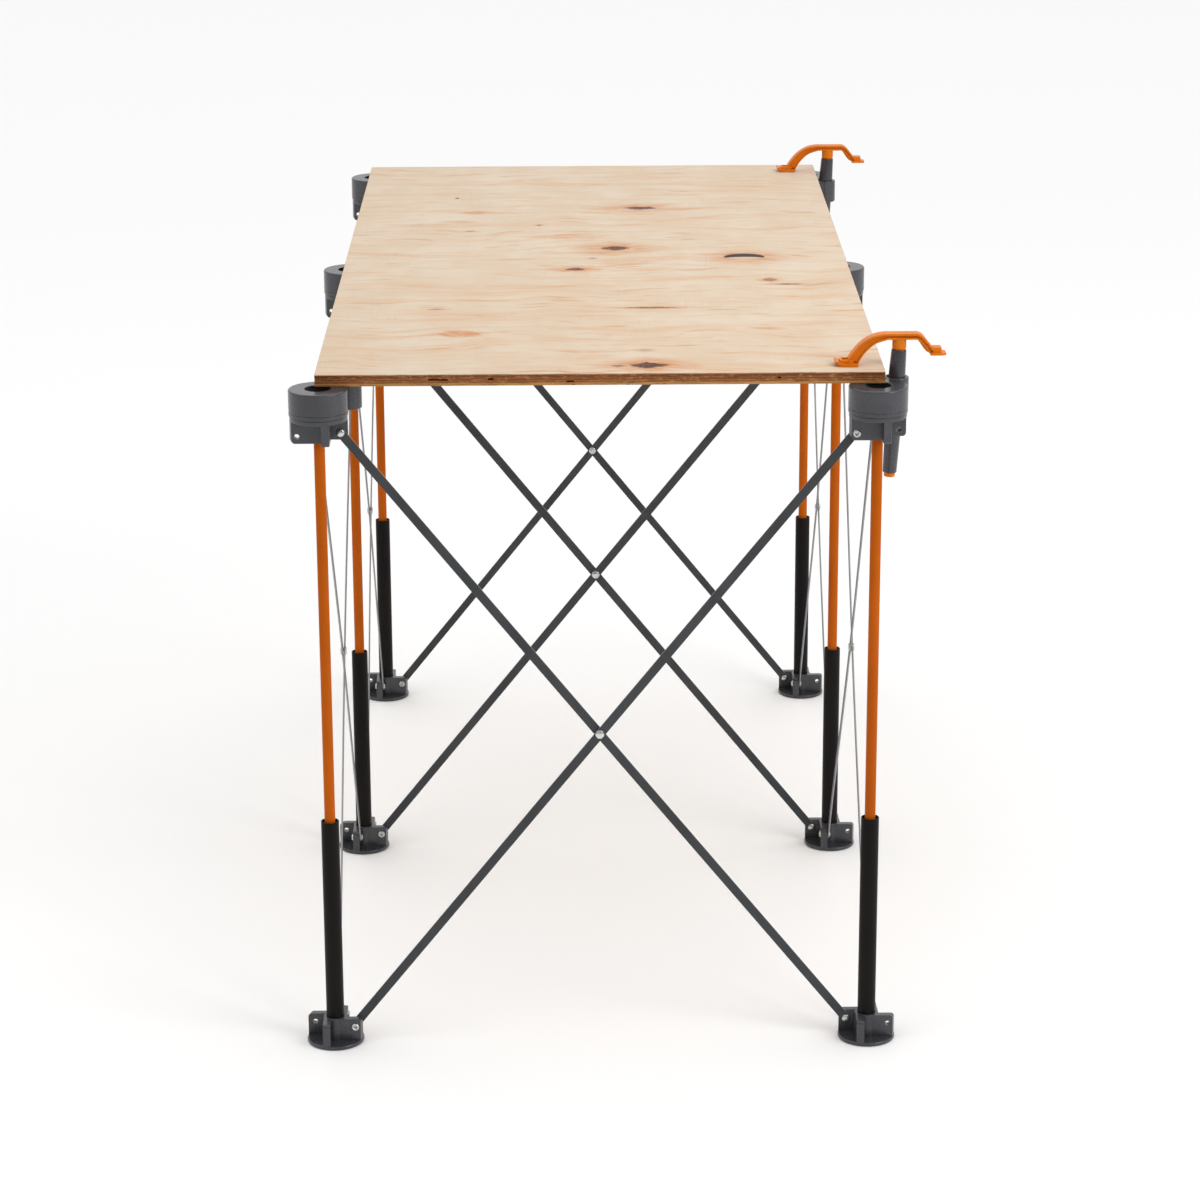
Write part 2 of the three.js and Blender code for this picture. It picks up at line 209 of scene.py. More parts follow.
def scratch(bm):
    """A throwaway object with bm's shape."""
    mesh = bpy.data.meshes.new("scratch")
    bm.to_mesh(mesh)
    holder = bpy.data.objects.new("scratch", mesh)
    bpy.context.scene.collection.objects.link(holder)
    return holder


def combined(base, joins=(), cuts=()):
    """base with the joins added and then the cuts taken away, as one mesh."""
    holder = scratch(base)
    tools = []
    for group, operation in ((joins, "UNION"), (cuts, "DIFFERENCE")):
        for bm in group:
            tool = scratch(bm)
            boolean = holder.modifiers.new(operation, "BOOLEAN")
            boolean.solver = "EXACT"
            boolean.operation = operation
            boolean.object = tool
            tools.append(tool)
    depsgraph = bpy.context.evaluated_depsgraph_get()
    mesh = bpy.data.meshes.new_from_object(holder.evaluated_get(depsgraph))
    result = bmesh.new()
    result.from_mesh(mesh)
    bmesh.ops.remove_doubles(result, verts=result.verts, dist=1e-6)
    bmesh.ops.dissolve_degenerate(result, edges=result.edges, dist=1e-6)
    for thing in [holder, *tools]:
        bpy.data.meshes.remove(thing.data)
    bpy.data.meshes.remove(mesh)
    return result


def piece(name, bm, material, body, stands_for=(), crease=30, weighted=True):
    """bm as a finished piece of the object: its material, the body it rides on and the nodes it stands for."""
    mesh = bpy.data.meshes.new(name)
    bm.to_mesh(mesh)
    bm.free()
    mesh.shade_smooth()
    mesh.set_sharp_from_angle(angle=math.radians(crease))
    made = bpy.data.objects.new(name, mesh)
    bpy.context.scene.collection.objects.link(made)
    for finish in material if isinstance(material, (list, tuple)) else [material]:
        mesh.materials.append(finish)
    if weighted:
        modifier = made.modifiers.new("weighted normals", "WEIGHTED_NORMAL")
        modifier.keep_sharp = True
    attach(made, body)
    if stands_for:
        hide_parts(*stands_for)
    return made


# ---- materials ------------------------------------------------------------------------------------------
class Wire:
    """A node's output, with Python's operators for its maths."""

    def __init__(self, graph, socket):
        self.graph = graph
        self.socket = socket

    def maths(self, operation, *terms):
        return self.graph.node("ShaderNodeMath", {"operation": operation}, terms)

    def __add__(self, other):
        return self.maths("ADD", self, other)

    __radd__ = __add__

    def __sub__(self, other):
        return self.maths("SUBTRACT", self, other)

    def __rsub__(self, other):
        return self.maths("SUBTRACT", other, self)

    def __mul__(self, other):
        return self.maths("MULTIPLY", self, other)

    __rmul__ = __mul__

    def __truediv__(self, other):
        return self.maths("DIVIDE", self, other)

    def __pow__(self, other):
        return self.maths("POWER", self, other)

    def __abs__(self):
        return self.maths("ABSOLUTE", self)

    def exponent(self):
        return self.maths("EXPONENT", self)

    def most(self, other):
        return self.maths("MAXIMUM", self, other)

    def between(self, low, high, to_low=0.0, to_high=1.0):
        """Smoothly from to_low at low to to_high at high."""
        settings = {"interpolation_type": "SMOOTHSTEP", "clamp": True}
        return self.graph.node("ShaderNodeMapRange", settings, (self, low, high, to_low, to_high))


class Graph:
    """A node tree; node() adds any node to it."""

    def __init__(self, owner):
        owner.use_nodes = True
        self.tree = owner.node_tree

    def node(self, kind, settings, values, output=0):
        made = self.tree.nodes.new(kind)
        stops = settings.pop("stops", None)
        for label, value in settings.items():
            setattr(made, label, value)
        if stops:
            ramp = made.color_ramp
            while len(ramp.elements) < len(stops):
                ramp.elements.new(0.5)
            for element, (place, colour) in zip(ramp.elements, stops):
                element.position = place
                element.color = (*colour, 1)
        pairs = values.items() if isinstance(values, dict) else enumerate(values)
        for label, value in pairs:
            socket = made.inputs[label]
            if isinstance(value, Wire):
                self.tree.links.new(value.socket, socket)
            elif socket.type == "RGBA":
                socket.default_value = (*value, 1)
            else:
                socket.default_value = value
        return Wire(self, made.outputs[output])


class Finish(Graph):
    """A material being made, in the object's own coordinates; done() feeds the shader."""

    def __init__(self, name, **constants):
        self.material = bpy.data.materials.new(name)
        super().__init__(self.material)
        self.shader = self.tree.nodes["Principled BSDF"]
        for label, value in constants.items():
            self.shader.inputs[label.replace("_", " ").title().replace("Ior", "IOR")].default_value = value
        self.place = self.node("ShaderNodeTexCoord", {}, (), "Object")

    def axes(self):
        """The object coordinates' three numbers."""
        made = self.node("ShaderNodeSeparateXYZ", {}, (self.place,))
        return [Wire(self, made.socket.node.outputs[i]) for i in range(3)]

    def vector(self, x, y, z):
        return self.node("ShaderNodeCombineXYZ", {}, (x, y, z))

    def stretched(self, x, y, z):
        """Object coordinates scaled along each axis."""
        values = {"Vector": self.place, "Scale": (x, y, z)}
        return self.node("ShaderNodeMapping", {}, values)

    def noise(self, vector, scale, detail, rough):
        values = {"Vector": vector, "Scale": scale, "Detail": detail, "Roughness": rough}
        return self.node("ShaderNodeTexNoise", {}, values)

    def mix(self, factor, one, two):
        """Two colours, mixed by a factor."""
        settings = {"data_type": "RGBA"}
        return self.node("ShaderNodeMix", settings, {0: factor, 6: one, 7: two}, 2)

    def bump(self, height, strength, distance):
        values = {"Strength": strength, "Distance": distance, "Height": height}
        return self.node("ShaderNodeBump", {}, values)

    def done(self, **links):
        names = {"color": "Base Color", "roughness": "Roughness", "normal": "Normal"}
        for label, wire in links.items():
            self.tree.links.new(wire.socket, self.shader.inputs[names[label]])
        return self.material


def moulded_plastic(name, dark, light, roughness, shine):
    """Injection-moulded plastic: a fine eroded texture, faint cloudiness, and scuffed patches."""
    f = Finish(name, specular_ior_level=shine)
    cloud = f.noise(f.place, 38.0, 3.0, 0.6)
    speck = f.noise(f.place, 900.0, 2.0, 0.6)
    scuff = f.noise(f.place, 120.0, 5.0, 0.65).between(0.56, 0.74)
    color = f.mix(cloud.between(0.3, 0.7), dark, light)
    grain = f.noise(f.place, 2600.0, 2.0, 0.5)
    rough = roughness + (speck - 0.5) * 0.10 + scuff * 0.08
    return f.done(color=color, roughness=rough, normal=f.bump(grain, 0.22, 0.00012))


def powder_coat(name, dark, light, roughness, shine):
    """Baked paint on steel: orange-peel relief, slight colour drift and fine dust."""
    f = Finish(name, specular_ior_level=shine)
    drift = f.noise(f.stretched(1, 1, 0.25), 30.0, 3.0, 0.55)
    color = f.mix(drift.between(0.3, 0.7), dark, light)
    skin = f.noise(f.place, 900.0, 2.0, 0.5)
    dust = f.noise(f.place, 260.0, 4.0, 0.6)
    return f.done(color=color, roughness=roughness + (dust - 0.5) * 0.14,
                  normal=f.bump(skin, 0.16, 0.00015))


def zinc_plate():
    """Bright zinc plating with cloudy patches."""
    f = Finish("zinc_plate", metallic=1.0)
    patch = f.noise(f.place, 340.0, 4.0, 0.6)
    color = f.mix(patch.between(0.35, 0.7), (0.52, 0.53, 0.52), (0.70, 0.70, 0.67))
    fine = f.noise(f.place, 2200.0, 2.0, 0.5)
    return f.done(color=color, roughness=patch.between(0.3, 0.7, 0.20, 0.36),
                  normal=f.bump(fine, 0.12, 0.00008))


GREY_PLASTIC = moulded_plastic("grey_plastic", (0.035, 0.036, 0.042), (0.048, 0.049, 0.057), 0.28, 0.55)
ORANGE_PLASTIC = moulded_plastic("orange_plastic", (0.66, 0.165, 0.006), (0.76, 0.205, 0.009), 0.36, 0.10)
ORANGE_PAINT = powder_coat("orange_paint", (0.44, 0.086, 0.0024), (0.52, 0.106, 0.0030), 0.38, 0.07)
BLACK_PAINT = powder_coat("black_paint", (0.0055, 0.004, 0.004), (0.009, 0.007, 0.0065), 0.42, 0.12)
GREY_PAINT = powder_coat("grey_paint", (0.044, 0.046, 0.050), (0.058, 0.060, 0.065), 0.45, 0.20)
# Painted highlight: a light grey on the arms' narrow edges that stands in for the highlight the edges catch.
EDGE_HIGHLIGHT_PAINT = powder_coat("painted_edge_highlight", (0.300, 0.302, 0.305), (0.400, 0.402, 0.405), 0.42, 0.30)
ZINC = zinc_plate()

# Marks in the face veneer, in millimetres from the sheet's middle: place along and across the grain, half
# length, half width, how dark the heart is and how far its warm halo spreads.
KNOTS = (
    (53, -564, 20, 13, 1.0, 2.6),
    (24, 47, 16, 13, 1.0, 3.2),
    (60, 300, 21, 10, 1.0, 3.0),
    (-25, -74, 13, 8, 0.9, 2.6),
    (207, -139, 9, 9, 0.55, 1.4),
    (64, -285, 32, 4, 0.75, 2.0),
    (227, -164, 18, 3.5, 0.75, 1.6),
    (20, -566, 9, 5, 0.6, 1.5),
    (50, -495, 9, 5, 0.3, 1.4),
    (-4, -11, 6, 3, 0.5, 1.2),
    (-186, -287, 10, 3.5, 0.35, 1.2),
    (-71, 192, 4, 4, 0.6, 1.0),
    (-181, 373, 2.5, 4, 0.7, 1.0),
    (-157, 156, 7, 4, 0.3, 1.2),
)
FLAMES = ((-157, -411, 36, 20, 1.0), (-151, 276, 26, 12, 0.8), (-118, 274, 22, 6, 0.5), (-40, 120, 70, 16, 0.5))
SPLIT = (182, -8, 27, 20)  # a round knot whose far side has come away, leaving a crescent


def veneer():
    """Rotary-cut pine: pale, with wandering warm bands that part round the knots, along X."""
    f = Finish("plywood_face", specular_ior_level=0.3)
    x, y, _ = f.axes()
    middle = (PANEL_LOW + PANEL_HIGH) / 2
    x, y = (x - middle.x) * 1000, (y - middle.y) * 1000
    ragged = (f.noise(f.vector(x, y, 0.0), 0.075, 3.0, 0.6) - 0.5) * 1.5
    fine = (f.noise(f.vector(x, y * 2.0, 3.0), 0.4, 3.0, 0.6) - 0.5) * 0.7

    def eye(along, across, length, width):
        """Distance from a mark's middle, 1 on its pointed outline."""
        return (abs((x - along) / length) ** 1.35 + abs((y - across) / width) ** 1.35) ** 0.74

    flow, heart, halo, flame = y, 0.0, 0.0, 0.0
    for along, across, length, width, dark, spread in KNOTS:
        away = eye(along, across, length, width)
        if length > 8 and width > 7:
            near = (away / -4.5).exponent()
            flow = flow - (y - across) * near * 0.55
        heart = (away + ragged + fine).between(0.75, 1.2, dark, 0.0).most(heart)
        halo = (away + ragged).between(0.9, 1.2 + spread, min(1.0, dark + 0.1), 0.0).most(halo)
    for along, across, length, width, strength in FLAMES:
        flame = (eye(along, across, length, width) + ragged * 0.5).between(0.55, 1.1, strength, 0.0).most(flame)
    along, across, length, width = SPLIT
    whole = (((x - along) / length) ** 2 + ((y - across) / width) ** 2) ** 0.5
    inner = (((x - along) / (length * 1.25)) ** 2 + ((y - across + 21) / width) ** 2) ** 0.5
    flow = flow - (y - across) * (whole / -2.2).exponent() * 0.5
    split = (whole + fine * 0.3).between(0.86, 0.98, 1.0, 0.0) * (inner - fine * 0.3).between(0.97, 1.08)
    heart = split.most(heart)
    halo = whole.between(1.0, 2.7, 0.75, 0.0).most(halo) * (1.0 - whole.between(0.6, 0.95, 0.7, 0.0))

    wander = f.noise(f.vector(x * 0.6, flow * 0.5, 0.0), 0.009, 2.0, 0.45)
    lane = flow + (wander - 0.5) * 95.0
    broad = f.noise(f.vector(x * 0.10, lane, 1.7), 0.034, 3.0, 0.55)
    narrow = f.noise(f.vector(x * 0.13, lane, 4.2), 0.13, 3.0, 0.62)
    streak = f.noise(f.vector(x * 0.16, lane, 9.0), 0.085, 2.0, 0.5)
    blotch = f.noise(f.vector(x, y * 0.6, 2.0), 0.012, 3.0, 0.55)
    color = f.mix(blotch.between(0.35, 0.68), (0.650, 0.510, 0.368), (0.682, 0.568, 0.440))
    color = f.mix(broad.between(0.46, 0.70) * 0.60, color, (0.640, 0.412, 0.245))
    color = f.mix(narrow.between(0.50, 0.76) * 0.52, color, (0.590, 0.345, 0.185))
    color = f.mix(streak.between(0.60, 0.72) * 0.60, color, (0.560, 0.270, 0.105))
    fibre = f.noise(f.vector(x * 0.06, y, 0.0), 0.55, 3.0, 0.65)
    color = f.mix(fibre.between(0.50, 0.80) * 0.30, color, (0.50, 0.33, 0.19))
    cross = f.noise(f.vector(x, y * 0.03, 5.0), 0.55, 3.0, 0.6)
    patch = f.noise(f.vector(x, y, 8.0), 0.010, 2.0, 0.5)
    color = f.mix(cross.between(0.52, 0.75) * patch.between(0.5, 0.7) * 0.28, color, (0.43, 0.33, 0.24))
    fleck = f.noise(f.vector(x * 0.12, y * 0.8, 6.0), 0.42, 2.0, 0.5)
    color = f.mix(fleck.between(0.72, 0.79) * 0.55, color, (0.33, 0.19, 0.10))
    rings = f.noise(f.vector(x * 0.2, lane, 7.0), 0.20, 2.0, 0.5)
    color = f.mix(halo * (0.35 + rings.between(0.4, 0.6) * 0.5), color, (0.560, 0.215, 0.055))
    lick = f.noise(f.vector(x + y * 0.8, y * 0.5, 0.0), 0.10, 2.0, 0.5)
    color = f.mix(flame * lick.between(0.3, 0.60, 0.45, 1.00), color, (0.590, 0.270, 0.120))
    bark = f.noise(f.vector(x, y, 0.0), 0.22, 3.0, 0.7)
    core = f.mix(bark.between(0.42, 0.62), (0.035, 0.009, 0.005), (0.200, 0.075, 0.040))
    # Painted shade: the crescent where the knot has come away is coloured near-black, standing in for the shade
    # inside the gap.
    core = f.mix(split, core, (0.012, 0.004, 0.003))
    color = f.mix(heart, color, core)
    relief = fibre * 0.4 + narrow * 0.3 - heart * 0.9 + cross * 0.15
    return f.done(color=color, roughness=fibre.between(0.3, 0.8, 0.55, 0.70),
                  normal=f.bump(relief, 0.35, 0.0005))


def ply_edge():
    """The sawn edge: plies of long grain and end grain, mottled, with dark glue lines."""
    f = Finish("plywood_edge", roughness=0.75, specular_ior_level=0.25)
    x, y, z = f.axes()
    wobble = f.noise(f.vector(x * 6.0, y * 6.0, 0.0), 3.0, 2.0, 0.5)
    level = (z - PANEL_LOW.z) / (PANEL_HIGH.z - PANEL_LOW.z) + (wobble - 0.5) * 0.10
    plies = f.node("ShaderNodeValToRGB", {"stops": (
        (0.00, (0.52, 0.27, 0.095)),
        (0.22, (0.46, 0.21, 0.065)),
        (0.28, (0.22, 0.080, 0.022)),
        (0.44, (0.31, 0.115, 0.030)),
        (0.50, (0.17, 0.055, 0.016)),
        (0.62, (0.28, 0.100, 0.028)),
        (0.72, (0.20, 0.065, 0.018)),
        (0.88, (0.17, 0.052, 0.015)),
        (0.93, (0.34, 0.160, 0.062)),
        (1.00, (0.62, 0.44, 0.27)),
    )}, (level,))
    streak = f.noise(f.vector(x * 14.0, y * 14.0, z * 420.0), 3.0, 4.0, 0.7)
    mottle = f.noise(f.vector(x * 70.0, y * 70.0, z * 260.0), 2.0, 4.0, 0.7)
    color = f.mix(streak.between(0.45, 0.66) * 0.65, plies, (0.100, 0.032, 0.010))
    color = f.mix(mottle.between(0.50, 0.66) * 0.65, color, (0.50, 0.23, 0.075))
    # Painted shade: the gouges, small dents in the sawn edge, are coloured dark to stand in for the shade inside
    # them; the bump only dips them.
    gouge = f.noise(f.vector(x * 40.0, y * 40.0, z * 200.0), 2.0, 3.0, 0.6)
    color = f.mix(gouge.between(0.66, 0.72) * 0.8, color, (0.05, 0.018, 0.008))
    relief = streak * 0.6 + mottle * 0.4 - gouge.between(0.66, 0.72)
    return f.done(color=color, normal=f.bump(relief, 0.6, 0.0006))


# ---- feet and hubs --------------------------------------------------------------------------------------
def flange(side, z0, z1, round_top, start):
    """One upright flange on the +X side, its outer end following the disc and its free corner rounded."""
    reach, corner = DISC - 0.5, 4.0
    if round_top:
        outline = rounded([(start, z0), (reach, z0), (reach, z1), (start, z1)], (0, corner), 6)
    else:
        outline = rounded([(start, z1), (reach, z1), (reach, z0), (start, z0)], (0, corner), 6)
    y0 = FLANGE_INNER if side > 0 else -FLANGE_INNER - FLANGE_THICK
    bm = extruded(outline, y0, y0 + FLANGE_THICK, 0)
    for vert in bm.verts:
        if vert.co.x > (PIVOT + 1) * MM:
            vert.co.x *= math.sqrt(reach**2 - (vert.co.y / MM) ** 2) / reach
    ease(bm, 0.7, 3)
    return bm


def pinwheel(side, z0, z1, round_top, start):
    one = flange(side, z0, z1, round_top, start)
    return [moved(one, about_z(turn)) for turn in (0, 90, 180, 270)]


def rivet_holes(z):
    across = moved(rod(RIVET + FIT, -40, 40, 24), Matrix.Rotation(math.pi / 2, 4, "X"))
    return [moved(across, about_z(turn) @ shift(PIVOT, 0, z)) for turn in (0, 90, 180, 270)]


def foot_shape():
    plate = turned(rounded([(0, 0), (DISC, 0), (DISC, FOOT_PLATE), (0, FOOT_PLATE)], (0.8, 1.2), 3), 96)
    collar = turned(rounded([(0, 1), (14.2, 1), (13.5, FOOT_TOP), (0, FOOT_TOP)], (0, 1.0)), 64)
    socket = rod(LOWER_TUBE + FIT, 6, FOOT_TOP + 5, 64)
    flanges = pinwheel(-1, 2, FOOT_TOP, True, 5)
    return combined(plate, [collar, *flanges], [socket, *rivet_holes(FOOT_PIVOT)])


def hub_shape():
    """A head hub, with the cap's top at zero height. Each flange runs on until it meets the next."""
    top = -CAP_HEIGHT - 0.3
    low = top - HUB_PLATE
    radius = DISC - 0.8
    plate = turned(rounded([(0, low), (radius, low), (radius, top), (0, top)], (1.0, 0.4), 3), 96)
    collar = turned(rounded([(0, -HUB_BOTTOM), (9.6, -HUB_BOTTOM), (10.4, top - 1), (0, top - 1)], (1.0, 0)), 64)
    bore = rod(UPPER_TUBE + FIT, -HUB_BOTTOM - 5, top + 5, 48)
    flanges = pinwheel(1, -HUB_BOTTOM, low + 2, False, -FLANGE_INNER - 5)
    return combined(plate, [collar, *flanges], [bore, *rivet_holes(-HEAD_PIVOT)])


# ---- caps -----------------------------------------------------------------------------------------------
def cap_shape():
    """A head cap with its ear on +X and its top at zero height."""
    groove = 0.55
    profile = rounded(
        [(0, -CAP_HEIGHT), (DISC, -CAP_HEIGHT), (DISC, -CAP_GROOVE - groove), (DISC - groove, -CAP_GROOVE),
         (DISC, -CAP_GROOVE + groove), (DISC, 0), (SOCKET, 0), (SOCKET, -SOCKET_DEPTH), (0, -SOCKET_DEPTH)],
        (0.6, 0.3, 0.2, 0.3, 1.8, 0.8, 1.0), 4)
    body = turned(profile, 96)
    ear = turned(rounded([(0, -CAP_HEIGHT), (EAR, -CAP_HEIGHT), (EAR, 0), (0, 0)], (1.2, 1.2)), 64)
    web = block(18, EAR_REACH - 2, -7.5, 7.5, -CAP_HEIGHT + 0.5, -1.9, 1.0)
    bore = rod(EAR_BORE, -CAP_HEIGHT - 5, 5, 64)
    slit = moved(block(EAR_BORE - 2, EAR + 3, -1.4, 1.4, -CAP_HEIGHT - 4, 4), about_z(-45))
    at_ear = shift(EAR_REACH, 0, 0)
    return combined(body, [moved(ear, at_ear), web], [moved(bore, at_ear), moved(slit, at_ear)])


# ---- tubes ----------------------------------------------------------------------------------------------
def lower_tube_shape(low, high):
    inner, guide = LOWER_TUBE - 1.4, UPPER_TUBE + 0.4
    profile = rounded(
        [(inner, low + 20), (inner, low), (LOWER_TUBE, low), (LOWER_TUBE, high), (inner, high),
         (inner, high - 9), (guide, high - 9), (guide, high - 16), (inner, high - 16)],
        (0, 0, 0.5, 0.4, 0, 0.4, 0), 3)
    return turned(profile, 64, closed=True)


def upper_tube_shape(low, high):
    inner, plug = UPPER_TUBE - 1.1, LOWER_TUBE - 1.9
    profile = rounded(
        [(inner, low + 5), (inner, low), (plug, low), (plug, low + 15), (UPPER_TUBE, low + 15),
         (UPPER_TUBE, high), (inner, high)],
        (0, 0.8, 0.8, 0, 0.4), 3)
    return turned(profile, 48, closed=True)


# ---- arms and rivets ------------------------------------------------------------------------------------
def stadium(length, radius, steps=14):
    line = []
    for centre, start in ((length, -90), (0, 90)):
        for step in range(steps + 1):
            angle = math.radians(start + 180 * step / steps)
            line.append((centre + radius * math.cos(angle), radius * math.sin(angle)))
    return line


def domed(radius, height, z, up, steps=7):
    """A dome's profile from its rim at height z to its crown on the axis."""
    arc = [(radius, z), (radius, z + up * 0.5)]
    for step in range(1, steps + 1):
        angle = math.radians(90 * step / steps)
        arc.append((radius * math.cos(angle) if step < steps else 0,
                    z + up * (0.5 + (height - 0.5) * math.sin(angle))))
    return arc


def rolled(radius, height, z, steps=6):
    """A tubular rivet's clenched end: a rolled rim round a hollow, from its rim inwards."""
    hollow = 1.5
    middle, half = (radius + hollow) / 2, (radius - hollow) / 2
    arc = [(radius, z)]
    for step in range(1, steps):
        angle = math.radians(180 * step / steps)
        arc.append((middle + half * math.cos(angle), z + 0.3 + (height - 0.3) * math.sin(angle)))
    return arc + [(hollow, z), (hollow - 0.3, z - 1.5), (0, z - 1.8)]


def end_rivet_shape():
    """An arm's end rivet along Z, from the dome on the arm to the clenched end outside the flange."""
    start = FLANGE_INNER + FLANGE_THICK - ARM_PLANE + 0.15
    profile = domed(RIVET_HEAD, 2.2, -ARM_THICK / 2, -1)[::-1]
    profile += [(RIVET, -ARM_THICK / 2), (RIVET, start)]
    profile += rolled(RIVET_HEAD, 1.7, start)
    return turned(profile, 40)


def cross_rivet_shape():
    inner = ARM_CROSSING - ARM_THICK / 2 - 0.05
    outer = ARM_CROSSING + ARM_THICK / 2 + 0.05
    washer = ARM_WIDTH / 2 - 0.4
    profile = domed(CROSS_HEAD, 1.9, -outer, -1)[::-1]
    profile += [(RIVET, -outer), (RIVET, -inner), (washer, -inner), (washer, inner), (RIVET, inner),
                (RIVET, outer)]
    profile += domed(CROSS_HEAD, 1.9, outer, 1)
    return turned(profile, 40)


BODY_OF = {node: body for body, nodes in frame["record"]["behaviour"]["bodies"].items() for node in nodes}


def arm_matrix(start, end, side):
    """Places a shape that lies along X, with its rivets along +Y, from start to end with Y along side."""
    along = (end - start).normalized()
    across = along.cross(side)
    matrix = Matrix((along, side, across)).transposed().to_4x4()
    matrix.translation = start
    return matrix


def sprung(bar, length):
    """The bar bowed gently away from +Y, most at its middle, where it meets the other arm."""
    for face in bar.faces:
        # The narrow edge faces take the second material, the light grey painted edge highlight.
        face.material_index = int(abs(face.normal.y) < 0.5)
    cuts = 24
    for step in range(1, cuts):
        sliced(bar, (length * step / cuts * MM, 0, 0), (1, 0, 0))
    for vert in bar.verts:
        along = min(max(vert.co.x / (length * MM), 0), 1)
        vert.co.y -= (ARM_PLANE - ARM_CROSSING) * MM * (1 - math.cos(TURN * along)) / 2
    return bar


def arm_pieces(name, start, end, side):
    length = (end - start).length / MM
    place = arm_matrix(start, end, side)
    bar = sprung(extruded(stadium(length, ARM_WIDTH / 2), -ARM_THICK / 2, ARM_THICK / 2, 0.3, 2), length)
    piece(f"{name}_bar", moved(bar, place), [GREY_PAINT, EDGE_HIGHLIGHT_PAINT], BODY_OF[name], [name])
    upright = Matrix.Rotation(-math.pi / 2, 4, "X")
    rivet = end_rivet_shape()
    for label, at in (("head", 0), ("foot", length)):
        one = moved(rivet, place @ shift(at, 0, 0) @ upright)
        piece(f"{name}_{label}_rivet", one, ZINC, BODY_OF[name], weighted=False)


# ---- build the legs -------------------------------------------------------------------------------------
EAR_ANGLES = {"front_right": 60, "middle_right": 225, "rear_right": -60}
foot, hub, cap = foot_shape(), hub_shape(), cap_shape()
low_leg, high_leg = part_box("lower_leg_front_left"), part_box("upper_leg_front_left")
lower = lower_tube_shape(low_leg[0].z / MM, low_leg[1].z / MM)
upper = upper_tube_shape(high_leg[0].z / MM, high_leg[1].z / MM)
for side in SIDES:
    for row in ROWS:
        at = f"{row}_{side}"
        axis = leg_axis(row, side)
        down, up = f"lower_{at}", f"upper_{at}"
        here = Matrix.Translation(axis)
        head = Matrix.Translation(axis + Vector((0, 0, CAP_TOP)))
        piece(f"foot_{at}_moulding", moved(foot, here), GREY_PLASTIC, down, [f"foot_{at}"])
        piece(f"lower_leg_{at}_tube", moved(lower, here), BLACK_PAINT, down, [f"lower_leg_{at}"],
              weighted=False)
        piece(f"upper_leg_{at}_tube", moved(upper, here), ORANGE_PAINT, up,
              [f"upper_leg_{at}"], weighted=False)
        piece(f"head_hub_{at}_moulding", moved(hub, head), GREY_PLASTIC, up, [f"head_hub_{at}"])
        turn = about_z(EAR_ANGLES.get(at, 45))
        piece(f"head_cap_{at}_moulding", moved(cap, head @ turn), GREY_PLASTIC, up,
              [f"head_cap_{at}"])

# ---- build the lattice ----------------------------------------------------------------------------------
FOOT_Z, HEAD_Z = FOOT_PIVOT * MM, CAP_TOP - HEAD_PIVOT * MM
X, Y = Vector((1, 0, 0)), Vector((0, 1, 0))
crossing = cross_rivet_shape()


def lattice_pair(name, rivet_name, left, right, along, across):
    """Two crossing arms between two legs; the first goes down from the left leg's head."""
    reach = PIVOT * MM * along
    side = across * ARM_PLANE * MM
    head, foot_end = Vector((0, 0, HEAD_Z)), Vector((0, 0, FOOT_Z))
    arm_pieces(f"{name}_a", left + reach + head + side, right - reach + foot_end + side, across)
    arm_pieces(f"{name}_b", left + reach + foot_end - side, right - reach + head - side, -across)
    middle = (left + right) / 2 + Vector((0, 0, (HEAD_Z + FOOT_Z) / 2))
    turn = across.to_track_quat("Z", "Y").to_matrix().to_4x4()
    piece(f"{rivet_name}_head", moved(crossing, Matrix.Translation(middle) @ turn), ZINC,
          BODY_OF[rivet_name], [rivet_name], weighted=False)


for row in ROWS:
    lattice_pair(f"cross_arm_{row}", f"cross_rivet_{row}", leg_axis(row, "left"), leg_axis(row, "right"), X, Y)
for side in SIDES:
    for k, half in enumerate(HALVES):
        lattice_pair(f"side_arm_{half}_{side}", f"side_rivet_{half}_{side}", leg_axis(ROWS[k], side),
                     leg_axis(ROWS[k + 1], side), Y, -X)


# ---- clamps ---------------------------------------------------------------------------------------------
def barrel_shape():
    """The barrel along Z, measured from the middle of the ear."""
    profile = rounded(
        [(BARREL_BORE, -BARREL_BELOW), (BARREL_TIP, -BARREL_BELOW), (BARREL, -CAP_HEIGHT),
         (BARREL, CAP_HEIGHT / 2 + 1), (BARREL_TOP, BARREL_ABOVE), (BARREL_BORE, BARREL_ABOVE)],
        (0.5, 6.0, 6.0, 0.7), 4)
    return turned(profile, 64, closed=True)


def shaft_shape():
    """The shaft along Z, measured from the middle of the ear."""
    profile = [(0, -SHAFT_BELOW), (SHAFT, -SHAFT_BELOW), (SHAFT, SHAFT_ABOVE), (0, SHAFT_ABOVE)]
    return turned(rounded(profile, (1.0, 0.6)), 48)


def smooth_path(points, steps=6):
    """A Catmull-Rom curve through (x, z) points."""
    line = []
    ends = [points[0], *points, points[-1]]
    for a, b, c, d in zip(ends, ends[1:], ends[2:], ends[3:]):
        for step in range(steps):
            t = step / steps
            line.append(tuple(
                0.5 * (2 * q + (r - p) * t + (2 * p - 5 * q + 4 * r - s) * t**2 + (3 * q - p - 3 * r + s) * t**3)
                for p, q, r, s in zip(a, b, c, d)))
    line.append(points[-1])
    return line


def tapered_pad(outline, half_width, from_x, tip_x, tip_share):
    """A pad of the outline's thickness whose sides draw in towards its tip."""
    pad = extruded(outline, -half_width, half_width, 0)
    cuts = 7
    for step in range(1, cuts):
        sliced(pad, ((from_x + (tip_x - from_x) * step / cuts) * MM, 0, 0), (1, 0, 0))
    for vert in pad.verts:
        out = min(max((vert.co.x / MM - from_x) / (tip_x - from_x), 0), 1)
        vert.co.y *= tip_share + (1 - tip_share) * math.sqrt(1 - out**2)
    ease(pad, 0.6, 2)
    return pad


